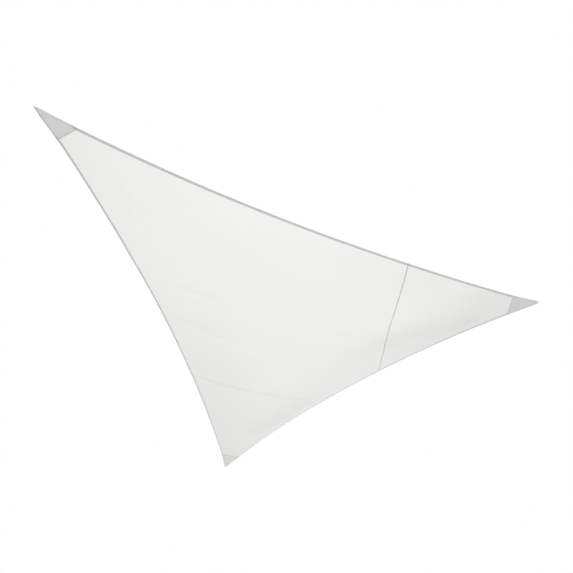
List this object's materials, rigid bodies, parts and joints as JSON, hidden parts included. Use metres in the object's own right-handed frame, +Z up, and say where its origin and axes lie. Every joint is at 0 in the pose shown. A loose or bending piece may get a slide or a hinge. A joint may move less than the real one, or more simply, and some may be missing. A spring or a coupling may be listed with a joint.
{
  "type": "shade sail",
  "caption": "Triangular garden shade sail hung taut from its corners, with drawn-in hemmed edges, lapped seams and corner patches.",
  "frame": {"origin": "tip A, the highest corner, where the sail is tied", "axes": "+Z up as hung; the plane of the tips falls by 20 degrees towards +Y; +X is to the right when the sail is seen from tip A's side"},
  "size_m": [3.4434, 3.3623, 1.2257],
  "materials": {
    "cloth": "plain-woven white polyester sheeting, matt, lets light through",
    "patch": "plain-woven white polyester sheeting, sewn double under each corner"
  },
  "bodies": {
    "root": {"main_panel": "cloth", "right_panel": "cloth", "lower_panel": "cloth", "patch_a": "patch", "patch_b": "patch", "patch_c": "patch"}
  },
  "joints": []
}
